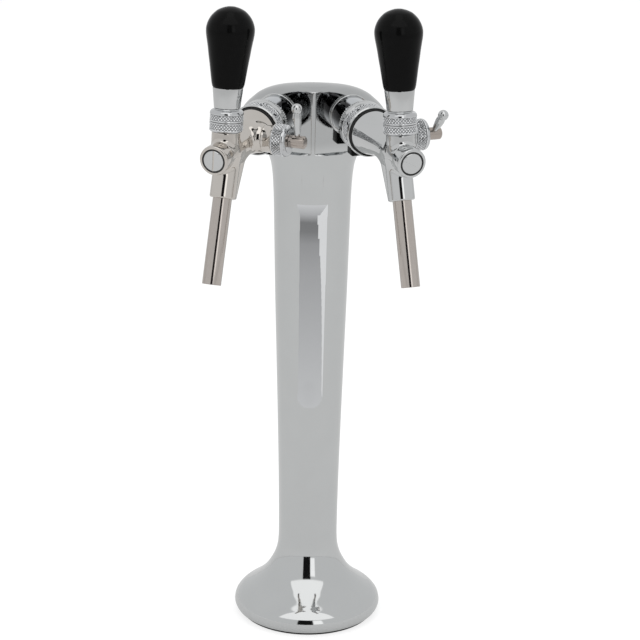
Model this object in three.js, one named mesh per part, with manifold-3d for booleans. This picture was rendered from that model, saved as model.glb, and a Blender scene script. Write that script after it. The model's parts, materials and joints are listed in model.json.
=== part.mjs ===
// Beer tap tower: a hooded chrome column with two compensator taps.
// Millimetres, +Z up, front towards -Y. The origin is the centre of the foot, on the bar top.
import * as THREE from "three";
import { mergeVertices } from "three/addons/utils/BufferGeometryUtils.js";
import { ParametricGeometry } from "three/addons/geometries/ParametricGeometry.js";
import Module from "manifold-3d";

const wasm = await Module();
wasm.setup();

// ---- Driving dimensions ----

const DEG = Math.PI / 180;
const SIDES = [-1, 1]; // left and right, as seen from the front
const GAP = 0.3; // clearance between neighbouring pieces
const FINE = 16; // sides of the larger turned pieces
const COARSE = 12; // sides of the smaller ones
const FOOT = 24; // sides of the pieces inside the foot

const COLUMN = {
  wall: 3.5,
  rimZ: 1.5,
  apexY: -24,
  apexZ: 481.5,
  segments: 26,
  steps: 30,
  hollowStation: 10, // the station where the column's hollow starts, over the foot
};

// Column stations from the rim to the hood's crown:
// height, half width, reach to the front, reach to the back.
const STATIONS = [
  [1.5, 58.6, 58.6, 58.6],
  [4, 61.8, 61.8, 61.8],
  [8, 63.7, 63.7, 63.7],
  [12, 63.4, 63.4, 63.4],
  [15.5, 62, 62, 62],
  [20, 58, 58, 58],
  [24.5, 51.7, 51.7, 51.7],
  [30.2, 44.6, 44.6, 44.6],
  [37.1, 37.8, 37.8, 37.8],
  [46, 32, 32, 32],
  [56, 27.7, 27.7, 27.7],
  [68, 25.7, 25.7, 25.7],
  [90, 25.6, 25.6, 25.6],
  [130, 26.2, 26.2, 26.2],
  [180, 27.4, 27.4, 27.4],
  [240, 29.1, 29.1, 29.1],
  [300, 30.8, 30.8, 30.8],
  [350, 31.9, 31.9, 31.9],
  [382, 32.7, 32.7, 32.7],
  [402, 34, 33.8, 33.3],
  [414, 36.5, 35.2, 34],
  [426, 42.5, 37.5, 34.5],
  [438, 52.5, 42.5, 34],
  [447, 59.2, 46.5, 31.5],
  [453, 59.2, 47.6, 28],
  [458.5, 55.8, 48, 22],
  [463.5, 51.2, 47.6, 16],
  [469.5, 45, 46.3, 8.5],
  [474.5, 37, 44, 1],
  [478.2, 26.8, 40.5, -6.5],
  [480.6, 13.5, 34, -14.5],
];

const RECESS = {
  topZ: 381,
  bottomZ: 198,
  width: 23,
  depthTop: 5.2,
  depthBottom: 1.6,
  chamfer: 3.2,
  frontTop: -32.7,
  frontBottom: -28,
};

const BASE = {
  plateRadius: 54,
  plateHeight: 5.6,
  flangeInner: 44,
  flangeTop: 10,
  screwRadius: 2.5,
  headRadius: 4.4,
  headHeight: 2.3,
  screwCircle: 49.5,
  lineHoleRadius: 6.2,
  lineX: 12,
  lineY: 14,
};

const BEER_LINE = {
  radius: 4.8,
  bore: 3.4,
  columnX: 8.5, // half the spacing of the two lines inside the column
  columnY: 3.5,
};

const INSULATION = { radius: 19.5, bore: 6, low: 150, high: 270 };

const TAP = {
  azimuth: 22 * DEG, // each tap points this far to its side of straight ahead
  slope: 4.5 * DEG, // and this far down
  faceX: 29.8,
  faceY: -28,
  faceZ: 456.8,
  sleeveRadius: 16.5,
  sleeveEnd: 25,
  nutRadius: 20.6,
  nutBead: 21.2, // radius of the bead round the nut's front edge
  nutEnd: 47,
  shankRadius: 8,
  neckX: 104.7,
  neckRadius: 11.3,
  plugRadius: 8.4,
  plugEnd: 127.7,
};

// The web behind the spout socket: its rear edge starts under the barrel and ends at the socket's lower face.
const WEB = { topX: 70, topZ: -6, bendX: 80, bendZ: -14.5, endX: 99.6, endZ: -40, thickness: 17 };

const LEVER = {
  lean: 10.2 * DEG, // the closed lever leans back this far from square to the barrel
  pivot: 10.8, // height of the pivot over the barrel axis, along the neck
  seat: 19, // radius of the ball-shaped seat between the two knurled collars
  collarRadius: 13.4,
  lowerBottom: 17,
  upperTop: 35,
  ferruleTop: 51.3,
  handleLength: 63.2,
  ballRadius: 6.2, // the stem's ball, in the neck's bore
  rodRadius: 2.6,
  tipRadius: 3.2, // the stem's lower end, in the piston's pocket
  rodTop: 71,
};

const SPOUT = {
  tilt: 22.2 * DEG, // from square to the barrel, towards the front
  startX: 98.1,
  socketRadius: 10.4,
  socketEnd: 38.4,
  tubeRadius: 7.6,
  tubeBore: 6.5,
  tubeTop: 27,
  tubeEnd: 107,
};

const COMPENSATOR = {
  x: 65.4,
  z: 1.2, // height of the spindle's axis over the barrel's
  eccentric: 2.2,
  stubRadius: 4.6,
  stubEnd: 52.7,
  leverAt: 45.2,
  leverHeight: 27.3,
  ballRadius: 4.3,
  halfTravel: 60 * DEG, // the lever turns this far to each side of its middle position
  pinRadius: 1.2,
  boreRadius: 3.8, // through the bonnet and the collar
};

// ---- Finishes ----

const FINISH = {
  chrome: { color: 0xc3c7c8, metalness: 1, roughness: 0.12 },
  nickel: { color: 0xb9b0a6, metalness: 1, roughness: 0.18 },
  steel: { color: 0xa59b94, metalness: 1, roughness: 0.32 },
  knurl: { color: 0xb4b8b8, metalness: 1, roughness: 0.35 },
  brass: { color: 0xb08d4f, metalness: 1, roughness: 0.4 },
  blackPlastic: { color: 0x0b0b0c, metalness: 0, roughness: 0.22 },
  rubber: { color: 0x151515, metalness: 0, roughness: 0.8 },
  tubing: { color: 0xd9dcdc, metalness: 0, roughness: 0.5 },
  foam: { color: 0x3a3b3d, metalness: 0, roughness: 0.95 },
};

// ---- Solids ----

// A geometry as a manifold solid: shared vertices merged, collapsed triangles left out.
function solid(geometry) {
  const bare = geometry.clone();
  bare.deleteAttribute("normal");
  bare.deleteAttribute("uv");
  const merged = mergeVertices(bare, 1e-4);
  const index = merged.index.array;
  const kept = [];
  for (let i = 0; i < index.length; i += 3) {
    const [a, b, c] = [index[i], index[i + 1], index[i + 2]];
    if (a !== b && b !== c && c !== a) kept.push(a, b, c);
  }
  const vertProperties = new Float32Array(merged.attributes.position.array);
  const triVerts = new Uint32Array(kept);
  return new wasm.Manifold(new wasm.Mesh({ numProp: 3, vertProperties, triVerts }));
}

function geometryOf(body) {
  const mesh = body.getMesh();
  const position = new THREE.BufferAttribute(new Float32Array(mesh.vertProperties), 3);
  const geometry = new THREE.BufferGeometry();
  geometry.setAttribute("position", position);
  geometry.setIndex(new THREE.BufferAttribute(new Uint32Array(mesh.triVerts), 1));
  geometry.computeVertexNormals();
  return geometry;
}

function joined(first, ...others) {
  return others.reduce((body, other) => body.add(other), first);
}

function cut(first, ...others) {
  return others.reduce((body, other) => body.subtract(other), first);
}

// A profile of [radius, height] points turned about +Z. Outer sides run upwards.
function turned(profile, segments = COARSE) {
  const points = profile.map(([r, h]) => new THREE.Vector2(r, h));
  return new THREE.LatheGeometry(points, segments).rotateX(Math.PI / 2);
}

// A tube or ring about +Z between two heights.
function ring(outer, inner, low, high, segments = COARSE) {
  return turned([[inner, low], [outer, low], [outer, high], [inner, high], [inner, low]], segments);
}

function rod(radius, low, high, segments = COARSE) {
  return turned([[0, low], [radius, low], [radius, high], [0, high]], segments);
}

function block(sizeX, sizeY, sizeZ, x, y, z) {
  return new THREE.BoxGeometry(sizeX, sizeY, sizeZ).translate(x, y, z);
}

// Turn a piece made about +Z so that it runs along +X or +Y.
function alongX(geometry) {
  return geometry.rotateY(Math.PI / 2);
}

function alongY(geometry) {
  return geometry.rotateX(-Math.PI / 2);
}

function mesh(name, shape, finish) {
  const geometry = shape.isBufferGeometry ? shape : geometryOf(shape);
  const piece = new THREE.Mesh(geometry, new THREE.MeshStandardMaterial(FINISH[finish]));
  piece.name = name;
  return piece;
}

// ---- Column ----

const frontCurve = new THREE.CatmullRomCurve3(
  STATIONS.map(([z, width, front]) => new THREE.Vector3(width, front, z)), false, "catmullrom", 0.5);
const backCurve = new THREE.CatmullRomCurve3(
  STATIONS.map(([z, width, front, back]) => new THREE.Vector3(width, back, z)), false, "catmullrom", 0.5);

// How far the hood's sides are swept back, so that its crown follows the two faces.
function sweepBack(x, z) {
  const share = THREE.MathUtils.smoothstep(z, 425, 470);
  return share * Math.tan(TAP.azimuth) * (Math.hypot(x, 12) - 12);
}

// A point of the column's skin: angle from the right side, t from the rim to the crown, inset inwards.
function columnPoint(angle, t, inset, target) {
  const a = frontCurve.getPoint(t);
  const b = backCurve.getPoint(t);
  const centre = (b.y - a.y) / 2;
  const depth = Math.max((b.y + a.y) / 2 - inset, 0.5);
  const x = Math.max(a.x - inset, 0.5) * Math.cos(angle);
  const y = centre + depth * Math.sin(angle) + sweepBack(x, a.z);
  target.set(x, y, a.z);
}

// The column as a closed skin with a point at each end.
function columnSkin(inset, from, to, slices, stacks) {
  const low = new THREE.Vector3(0, 0, frontCurve.getPoint(from).z);
  const high = new THREE.Vector3(0, COLUMN.apexY, COLUMN.apexZ - inset);
  const skin = (u, v, target) => {
    const row = Math.round(v * stacks);
    if (row === 0) target.copy(low);
    else if (row === stacks) target.copy(high);
    else columnPoint(2 * Math.PI * u, from + ((to - from) * (row - 1)) / (stacks - 2), inset, target);
  };
  return new ParametricGeometry(skin, slices, stacks);
}

// A slab that stands in front of one flat face of the hood, or reaches behind it by this much.
function faceCutter(side, behind, height) {
  const slab = block(120, 160, height, 60 - behind, 0, 0);
  return solid(slab.applyMatrix4(tapFrame(side)));
}

function shankBore(side) {
  const bore = alongX(rod(TAP.shankRadius + GAP, -14, 10, FINE));
  return solid(bore.applyMatrix4(tapFrame(side)));
}

// The long shallow recess in the column's front: a rounded strip with a chamfered floor, deepest at the top.
function recessCutter() {
  const half = RECESS.width / 2 - RECESS.chamfer;
  const length = RECESS.topZ - RECESS.bottomZ - 2 * RECESS.chamfer;
  const strip = new THREE.Shape();
  strip.moveTo(half, length);
  strip.lineTo(-half, length);
  strip.lineTo(-half, half);
  strip.absarc(0, half, half, Math.PI, 2 * Math.PI, false);
  strip.lineTo(half, length);
  const bevel = { bevelThickness: RECESS.chamfer, bevelSize: RECESS.chamfer, bevelSegments: 1 };
  const tool = new THREE.ExtrudeGeometry(strip, { depth: 14, curveSegments: 8, ...bevel });
  const floorTop = RECESS.frontTop + RECESS.depthTop;
  const floorBottom = RECESS.frontBottom + RECESS.depthBottom;
  const tilt = Math.atan2(floorBottom - floorTop, RECESS.topZ - RECESS.bottomZ);
  tool.rotateX(Math.PI / 2 + tilt);
  tool.translate(0, floorBottom - RECESS.chamfer, RECESS.bottomZ + RECESS.chamfer);
  return solid(tool);
}

// The room inside the foot: the base plate's seat, the screw flange and the flare up into the column.
function footHollow() {
  const { plateRadius, plateHeight, flangeInner, flangeTop } = BASE;
  const seat = plateRadius + GAP;
  const floor = plateHeight + GAP;
  const flange = [[seat, floor], [flangeInner, floor], [flangeInner, flangeTop], [55, flangeTop + 2]];
  const flare = [[54, 15], [47.5, 21], [40, 27.5], [33.5, 34.5], [28, 44], [22.3, 62], [0, 62]];
  const profile = [[0, 0], [seat, 0], ...flange, ...flare];
  return solid(turned(profile, FOOT));
}

function columnBody() {
  const outer = solid(columnSkin(0, 0, 1, COLUMN.segments, COLUMN.steps));
  const hollowFrom = COLUMN.hollowStation / (STATIONS.length - 1);
  const inner = solid(columnSkin(COLUMN.wall, hollowFrom, 1, 16, 12));
  const faces = SIDES.map((side) => faceCutter(side, 0, 70));
  const facesInside = SIDES.map((side) => faceCutter(side, COLUMN.wall, 90));
  const recess = recessCutter();
  const shell = cut(outer, recess, ...faces);
  const hollow = cut(inner, recess.translate([0, COLUMN.wall, 0]), ...facesInside);
  const threads = screwHoles(BASE.screwRadius + 0.1, BASE.flangeTop - 1);
  return cut(shell, hollow, footHollow(), ...SIDES.map(shankBore), ...threads);
}

function screwPlaces() {
  const r = BASE.screwCircle;
  return [90, 210, 330].map((a) => [r * Math.cos(a * DEG), r * Math.sin(a * DEG)]);
}

function screwHoles(radius, top) {
  return screwPlaces().map(([x, y]) => solid(rod(radius, -1, top, COARSE).translate(x, y, 0)));
}

function basePlate() {
  const plate = solid(rod(BASE.plateRadius, 0, BASE.plateHeight, FOOT));
  const hole = rod(BASE.lineHoleRadius, -1, 9, FINE);
  const lineHoles = SIDES.map((side) => solid(hole.clone().translate(side * BASE.lineX, BASE.lineY, 0)));
  const sink = ([x, y]) => rod(BASE.headRadius + 0.4, -1, BASE.headHeight + GAP, COARSE).translate(x, y, 0);
  const sinks = screwPlaces().map((place) => solid(sink(place)));
  return cut(plate, ...lineHoles, ...sinks, ...screwHoles(BASE.screwRadius + GAP, 9));
}

function baseScrew([x, y]) {
  const head = solid(rod(BASE.headRadius, 0.2, BASE.headHeight, COARSE));
  const shank = solid(rod(BASE.screwRadius - 0.2, 1.5, BASE.flangeTop - 1.4, COARSE));
  return geometryOf(joined(head, shank)).translate(x, y, 0);
}

function baseGasket() {
  return ring(58.2, BASE.plateRadius + 0.8, 0, COLUMN.rimZ - 0.2, FOOT);
}

// A beer line from the shank's tail down to the base plate.
function beerLine(side) {
  const frame = tapFrame(side);
  const at = (x, y, z) => new THREE.Vector3(x, y, z).applyMatrix4(frame);
  const down = (x, y, z) => new THREE.Vector3(side * x, y, z);
  const inColumn = (z) => down(BEER_LINE.columnX, BEER_LINE.columnY, z);
  const path = new THREE.CatmullRomCurve3([
    at(-27.6, 0, 0), at(-30.6, 0, -0.4), down(13, 4, 434), down(10, 8, 405),
    inColumn(310), inColumn(210), inColumn(110),
    down(11, 12, 30), down(BASE.lineX, BASE.lineY, 1),
  ]);
  const wall = new THREE.Shape().absarc(0, 0, BEER_LINE.radius, 0, 2 * Math.PI, false);
  wall.holes.push(new THREE.Path().absarc(0, 0, BEER_LINE.bore, 0, 2 * Math.PI, true));
  const sweep = { steps: 16, curveSegments: 3, extrudePath: path, bevelEnabled: false };
  return new THREE.ExtrudeGeometry(wall, sweep);
}

function insulationCore() {
  const { radius, bore, low, high } = INSULATION;
  const { columnX, columnY } = BEER_LINE;
  const core = solid(rod(radius, low, high, FINE));
  const hole = (side) => rod(bore, low - 1, high + 1, COARSE).translate(side * columnX, columnY, 0);
  return cut(core, ...SIDES.map((side) => solid(hole(side))));
}

// ---- Taps ----

// Each tap's frame: X out along the barrel, Y to the compensator's side, Z up.
// Its origin is on the hood's face.
function tapFrame(side) {
  const out = new THREE.Vector3(side * Math.sin(TAP.azimuth), -Math.cos(TAP.azimuth), 0);
  const across = new THREE.Vector3(Math.cos(TAP.azimuth), side * Math.sin(TAP.azimuth), 0);
  const up = new THREE.Vector3(0, 0, 1);
  const turn = new THREE.Matrix4().makeBasis(out, across, up);
  const place = new THREE.Matrix4().makeTranslation(side * TAP.faceX, TAP.faceY, TAP.faceZ);
  return place.multiply(turn).multiply(new THREE.Matrix4().makeRotationY(TAP.slope));
}

function neckMatrix() {
  const lean = new THREE.Matrix4().makeRotationY(-LEVER.lean);
  return new THREE.Matrix4().makeTranslation(TAP.neckX, 0, 0).multiply(lean);
}

function spoutMatrix() {
  const down = new THREE.Matrix4().makeRotationY(Math.PI - SPOUT.tilt);
  return new THREE.Matrix4().makeTranslation(SPOUT.startX, 0, 0).multiply(down);
}

function shank() {
  const r = TAP.shankRadius;
  const profile = [
    [5, -27], [r, -27], [r, 2.6], [12.6, 3.2], [12.6, 28.6], [15.2, 28.6], [15.2, 31.6], [5, 31.6], [5, -27],
  ];
  return alongX(turned(profile));
}

function shankNut() {
  const hexagon = solid(alongX(rod(12.6, -10.5, -4.8, 6)));
  return cut(hexagon, solid(alongX(rod(TAP.shankRadius + GAP, -12, 0, COARSE))));
}

function couplingNut() {
  const { nutRadius: r, nutBead: bead, nutEnd: end } = TAP;
  const outside = [[13, 25.4], [r - 1, 25.4], [r, 26.4], [r, end - 3.4]];
  const lip = [[bead, end - 2.4], [bead, end - 0.8], [20.5, end], [20.2, end], [20.2, end - 2]];
  const inside = [[16.6, end - 2], [16.6, 28.2], [13, 28.2], [13, 25.4]];
  const profile = [...outside, ...lip, ...inside];
  return alongX(turned(profile, FINE));
}

// A piece made about the compensator's own axis, moved to its place on the barrel.
function besideBarrel(geometry) {
  return geometry.translate(COMPENSATOR.x, 0, COMPENSATOR.z);
}

function tapBodyOuter() {
  const profile = [
    [0, 33], [16.2, 33], [16.2, 48], [18.4, 48], [18.3, 50], [16.9, 55], [15.6, 60], [14.6, 65.4],
    [13.4, 71], [12.3, 78], [11.3, 88], [10.9, 100], [10.9, 111], [11.6, 117], [12, 122], [12, 126],
    [11.2, 127], [0, 127],
  ];
  const barrel = solid(alongX(turned(profile, FINE)));
  const neck = solid(rod(TAP.neckRadius, 0, LEVER.lowerBottom + 2, FINE).applyMatrix4(neckMatrix()));
  const r = SPOUT.socketRadius;
  const end = SPOUT.socketEnd;
  const socketProfile = [[0, 0], [r, 0], [r, end - 1], [r - 1, end], [0, end]];
  const socket = solid(turned(socketProfile, FINE).applyMatrix4(spoutMatrix()));
  const bossProfile = [[0, 0], [12.2, 0], [12.2, 14.6], [11.1, 17.4], [0, 17.4]];
  const boss = solid(besideBarrel(alongY(turned(bossProfile, FINE))));
  return joined(barrel, neck, socket, boss, web());
}

// The web that braces the spout socket to the rear of the body.
function web() {
  const outline = new THREE.Shape();
  outline.moveTo(WEB.topX, WEB.topZ);
  outline.quadraticCurveTo(WEB.bendX, WEB.bendZ, WEB.endX, WEB.endZ);
  outline.lineTo(106, -37.5);
  outline.lineTo(100, -4);
  const plate = { depth: WEB.thickness, bevelEnabled: false, curveSegments: 6 };
  const slab = new THREE.ExtrudeGeometry(outline, plate);
  return solid(slab.rotateX(Math.PI / 2).translate(0, WEB.thickness / 2, 0));
}

function tapBodyBores() {
  const barrel = [
    [0, 32], [12.5, 32], [12.5, 46], [8.2, 66], [8.2, 86], [5, 86], [5, 89], [7.6, 89], [7.6, 118],
    [9.3, 118], [9.3, 129], [0, 129],
  ];
  const main = solid(alongX(turned(barrel)));
  const neckProfile = [[0, 2], [6.5, 2], [6.5, 15.2], [8.6, 15.2], [8.6, 26], [0, 26]];
  const neck = solid(turned(neckProfile).applyMatrix4(neckMatrix()));
  const spoutProfile = [
    [0, 2], [5.6, 2], [5.6, SPOUT.tubeTop - GAP], [SPOUT.tubeRadius + GAP, SPOUT.tubeTop - GAP],
    [SPOUT.tubeRadius + GAP, SPOUT.socketEnd + 2], [0, SPOUT.socketEnd + 2],
  ];
  const spout = solid(turned(spoutProfile, FINE).applyMatrix4(spoutMatrix()));
  const side = solid(besideBarrel(alongY(rod(6.6, 2, 20, FINE))));
  return [main, neck, spout, side];
}

// The black plastic lock that hangs under the sleeve.
function lockScrew() {
  const halfX = 4.2;
  const halfY = 5.2;
  const plan = new THREE.Shape();
  plan.moveTo(-halfX, -halfY);
  plan.lineTo(halfX, -halfY);
  plan.lineTo(halfX, halfY);
  plan.lineTo(-halfX, halfY);
  const bevel = { bevelThickness: 1.2, bevelSize: 1.2, bevelSegments: 2 };
  const head = new THREE.ExtrudeGeometry(plan, { depth: 10, ...bevel });
  return head.translate(16, 0, -28.8);
}

function spoutTube() {
  const { tubeRadius, tubeBore, tubeTop, tubeEnd } = SPOUT;
  return ring(tubeRadius, tubeBore, tubeTop, tubeEnd, FINE).applyMatrix4(spoutMatrix());
}

function frontPlug(slotAngle) {
  const { plugRadius: r, plugEnd: end } = TAP;
  const profile = [[0, end - 8.1], [r, end - 8.1], [r, end - 0.7], [r - 0.5, end], [0, end]];
  const plug = solid(alongX(turned(profile)));
  const slot = block(1.6, 20, 1.1, end, 0, 0).rotateX(slotAngle);
  return cut(plug, solid(slot));
}

// ---- Lever ----

function seatArc(radius, fromR, toR, count) {
  const points = [];
  for (let i = 0; i <= count; i++) {
    const r = fromR + ((toR - fromR) * i) / count;
    points.push([r, LEVER.pivot + Math.sqrt(radius * radius - r * r)]);
  }
  return points;
}

function neckCollar() {
  const { collarRadius: r, seat, lowerBottom: low } = LEVER;
  const dome = seatArc(seat, r, TAP.neckRadius + GAP, 2);
  const bore = TAP.neckRadius + GAP;
  return turned([[bore, low], [r - 0.6, low], [r, low + 0.6], ...dome, [bore, low]], FINE);
}

function leverCollar() {
  const { collarRadius: r, seat, upperTop: top } = LEVER;
  const hollow = seatArc(seat + 0.35, 3, r, 5);
  return turned([...hollow, [r, top - 2.6], [r - 1.6, top - 0.6], [10.8, top], [3, top], hollow[0]], FINE);
}

// Points of an arc about a centre on the axis, angles in degrees from level.
function arc(radius, centre, from, to, step) {
  const points = [];
  for (let a = from; a <= to; a += step) {
    points.push([radius * Math.cos(a * DEG), centre + radius * Math.sin(a * DEG)]);
  }
  return points;
}

function leverStem() {
  const { pivot, ballRadius: ball, rodRadius: rodR, tipRadius: tip, rodTop } = LEVER;
  const lowEnd = arc(tip, 0, -60, 30, 30);
  const pivotBall = arc(ball, pivot, -66, 66, 33);
  const upper = [[rodR, pivot + ball], [rodR, rodTop], [0, rodTop]];
  return turned([[0, -tip], ...lowEnd, [2.3, 2.3], ...pivotBall, ...upper], COARSE);
}

// The rubber ring round the stem. Its hole widens upwards, where the stem swings furthest.
function leverPacking() {
  return turned([[5.9, 15.5], [8.3, 15.5], [8.3, 18.4], [7.3, 18.4], [5.9, 15.5]]);
}

function ferrule() {
  const low = LEVER.upperTop + GAP;
  const high = LEVER.ferruleTop;
  const bore = LEVER.rodRadius + GAP;
  return turned([[bore, low], [10.2, low], [12.1, high], [bore, high], [bore, low]], FINE);
}

function handle() {
  const low = LEVER.ferruleTop + GAP;
  const bore = LEVER.rodRadius + GAP;
  const boreTop = LEVER.rodTop + 1;
  const outline = [
    [11.6, 0], [12.5, 0.8], [14.3, 12], [16.2, 24.5], [18.2, 37], [19, 43.5], [18.9, 46.5], [16.9, 52.6],
    [12, 58.8], [6.3, 61.9], [0, LEVER.handleLength],
  ];
  const profile = outline.map(([r, h]) => [r, h + low]);
  return turned([[0, boreTop], [bore, boreTop], [bore, low], ...profile], FINE);
}

// ---- Valve and compensator ----

function piston() {
  const x = TAP.neckX;
  const head = [[0, 80], [6.9, 80], [6.9, 82.8], [2.5, 82.8]];
  const profile = [...head, [2.5, x - 6.5], [7.2, x - 6.5], [7.2, x + 11.3], [0, x + 11.3]];
  const body = solid(alongX(turned(profile)));
  const pocket = solid(block(7.2, 7.8, 16, x, 0, 8 - 3.9));
  const flat = solid(block(17, 16, 8, x + 0.8, 0, 4 + 4));
  return cut(body, pocket, flat);
}

function compensatorCone(turn) {
  const x = COMPENSATOR.x;
  const profile = [[0, 43], [11.3, 43], [11.3, 44.5], [8, 58], [4, 59.4], [4, x + 4.6], [0, x + 4.6]];
  const cone = solid(alongX(turned(profile)));
  const slot = solid(block(2 * (COMPENSATOR.pinRadius + GAP), 5, 12, x, 3.6, 0));
  return geometryOf(cut(cone, slot)).translate(coneTravel(turn), 0, 0);
}

// How far the cone has moved when the compensator's lever stands at this angle.
function coneTravel(turn) {
  const { eccentric, halfTravel } = COMPENSATOR;
  return (-eccentric * Math.sin(halfTravel) * turn) / halfTravel;
}

function compensatorSpindle() {
  const { stubRadius: r, stubEnd, eccentric } = COMPENSATOR;
  const shaft = [[0, 4.6], [3.5, 4.6], [3.5, 37.9]];
  const stub = [[r, 38.6], [r, stubEnd - 1], [r - 1, stubEnd], [0, stubEnd]];
  const bar = solid(alongY(turned([...shaft, ...stub], FINE)));
  const pin = solid(alongY(rod(COMPENSATOR.pinRadius, 1.6, 5, COARSE)).translate(0, 0, -eccentric));
  const socket = solid(rod(1.9, 1.6, 6, COARSE).translate(0, COMPENSATOR.leverAt, 0));
  return cut(joined(bar, pin), socket);
}

function compensatorLever() {
  const { leverHeight: h, ballRadius: b, leverAt } = COMPENSATOR;
  const shaft = [[0, 2], [1.6, 2], [1.7, 5], [2.5, 6], [3.4, 15], [3.6, 20], [2.9, h - 3.1]];
  const profile = [...shaft, ...arc(b, h, -30, 60, 30), [0, h + b]];
  return turned(profile, COARSE).translate(0, leverAt, 0);
}

function compensatorBonnet() {
  const bore = COMPENSATOR.boreRadius;
  const spigot = [[bore, 14.5], [6.3, 14.5], [6.3, 17.7]];
  const waist = [[11, 17.7], [10.7, 19.4], [10.8, 21.8], [11.4, 24], [12.2, 25.4], [12.2, 26.2]];
  return alongY(turned([...spigot, ...waist, [bore, 26.2], [bore, 14.5]], FINE));
}

function compensatorCollar() {
  const bore = COMPENSATOR.boreRadius;
  const outside = [[bore, 26.5], [12.3, 26.5], [12.9, 27.2], [12.9, 34.3], [12.2, 36.2], [10, 37.6]];
  return alongY(turned([...outside, [bore, 37.6], [bore, 26.5]], FINE));
}

// ---- Assembly ----

function addTap(root, side, name, slotAngle, compensatorTurn) {
  const tap = new THREE.Group();
  tap.applyMatrix4(tapFrame(side));
  const add = (part, shape, finish) => tap.add(mesh(name + "_" + part, shape, finish));
  const metal = side < 0 ? "nickel" : "chrome";

  add("tap_flange", alongX(ring(17.6, 8.8, 0.3, 2.2, FINE)), "chrome");
  add("shank", shank(), "brass");
  add("shank_sleeve", alongX(ring(TAP.sleeveRadius, 13, 2.5, TAP.sleeveEnd, FINE)), "chrome");
  add("shank_nut", shankNut(), "brass");
  add("lock_screw", lockScrew(), "blackPlastic");
  add("coupling_nut", couplingNut(), "chrome");
  add("coupling_seal", alongX(ring(15, 6, 31.9, 32.7, FINE)), "rubber");
  add("body_gasket", alongX(ring(19.9, 16.5, 45.3, 47.7, FINE)), "rubber");
  add("tap_body", cut(tapBodyOuter(), ...tapBodyBores()), metal);
  add("front_plug", frontPlug(slotAngle), "chrome");
  add("plug_o_ring", alongX(ring(9.1, 8.6, 124.2, 126.9)), "rubber");
  add("spout_tube", spoutTube(), "steel");

  const neck = new THREE.Group();
  neck.applyMatrix4(neckMatrix());
  const addNeck = (part, shape, finish) => neck.add(mesh(name + "_" + part, shape, finish));
  addNeck("neck_collar", neckCollar(), "knurl");
  addNeck("lever_packing", leverPacking(), "rubber");
  addNeck("lever_stem", leverStem(), "steel");
  addNeck("lever_collar", leverCollar(), "knurl");
  addNeck("lever_ferrule", ferrule(), "chrome");
  addNeck("handle", handle(), "blackPlastic");
  tap.add(neck);

  add("valve_piston", piston(), "steel");
  add("piston_seal", alongX(ring(7.3, 2.8, 83.1, 85.7, FINE)), "rubber");
  add("compensator_cone", compensatorCone(compensatorTurn), "blackPlastic");

  const compensator = new THREE.Group();
  compensator.position.set(COMPENSATOR.x, 0, COMPENSATOR.z);
  const addSide = (part, shape, finish) => compensator.add(mesh(name + "_" + part, shape, finish));
  addSide("compensator_bonnet", compensatorBonnet(), metal);
  addSide("compensator_collar", compensatorCollar(), "knurl");
  tap.add(compensator);

  const turning = new THREE.Group();
  turning.position.set(COMPENSATOR.x, 0, COMPENSATOR.z);
  turning.rotation.y = compensatorTurn;
  turning.add(mesh(name + "_compensator_spindle", compensatorSpindle(), "nickel"));
  turning.add(mesh(name + "_compensator_lever", compensatorLever(), "chrome"));
  tap.add(turning);

  root.add(tap);
}

function buildTower() {
  const root = new THREE.Group();
  root.add(mesh("column_body", columnBody(), "chrome"));
  root.add(mesh("base_plate", basePlate(), "steel"));
  root.add(mesh("base_gasket", baseGasket(), "rubber"));
  screwPlaces().forEach((place, i) => root.add(mesh("base_screw_" + (i + 1), baseScrew(place), "steel")));
  root.add(mesh("left_beer_line", beerLine(-1), "tubing"));
  root.add(mesh("right_beer_line", beerLine(1), "tubing"));
  root.add(mesh("insulation_core", insulationCore(), "foam"));
  addTap(root, -1, "left", 85 * DEG, 0);
  addTap(root, 1, "right", -27 * DEG, 40 * DEG);
  return root;
}

export default buildTower();
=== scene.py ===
import json
import math

import bmesh
import bpy
import numpy as np
from mathutils import Matrix, Vector


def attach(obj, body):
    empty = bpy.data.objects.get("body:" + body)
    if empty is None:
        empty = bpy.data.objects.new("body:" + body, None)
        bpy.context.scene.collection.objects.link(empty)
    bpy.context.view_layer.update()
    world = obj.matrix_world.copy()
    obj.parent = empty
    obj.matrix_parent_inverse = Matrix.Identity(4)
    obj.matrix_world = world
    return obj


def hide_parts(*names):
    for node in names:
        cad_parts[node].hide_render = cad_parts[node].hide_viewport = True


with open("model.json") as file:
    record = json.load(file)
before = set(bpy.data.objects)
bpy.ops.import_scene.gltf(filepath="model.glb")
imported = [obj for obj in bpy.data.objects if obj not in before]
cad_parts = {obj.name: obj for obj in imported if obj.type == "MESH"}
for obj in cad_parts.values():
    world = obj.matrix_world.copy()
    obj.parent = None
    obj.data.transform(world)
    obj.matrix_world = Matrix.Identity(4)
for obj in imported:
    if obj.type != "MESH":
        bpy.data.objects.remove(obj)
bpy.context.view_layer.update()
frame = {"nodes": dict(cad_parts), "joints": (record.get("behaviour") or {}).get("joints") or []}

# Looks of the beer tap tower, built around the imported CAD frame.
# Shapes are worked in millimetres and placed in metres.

MM = 0.001
DEG = math.pi / 180
JOINTS = {joint["name"]: joint for joint in frame["joints"]}
SIDES = {"left": -1, "right": 1}

# ---- Driving dimensions, in millimetres ----

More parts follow.
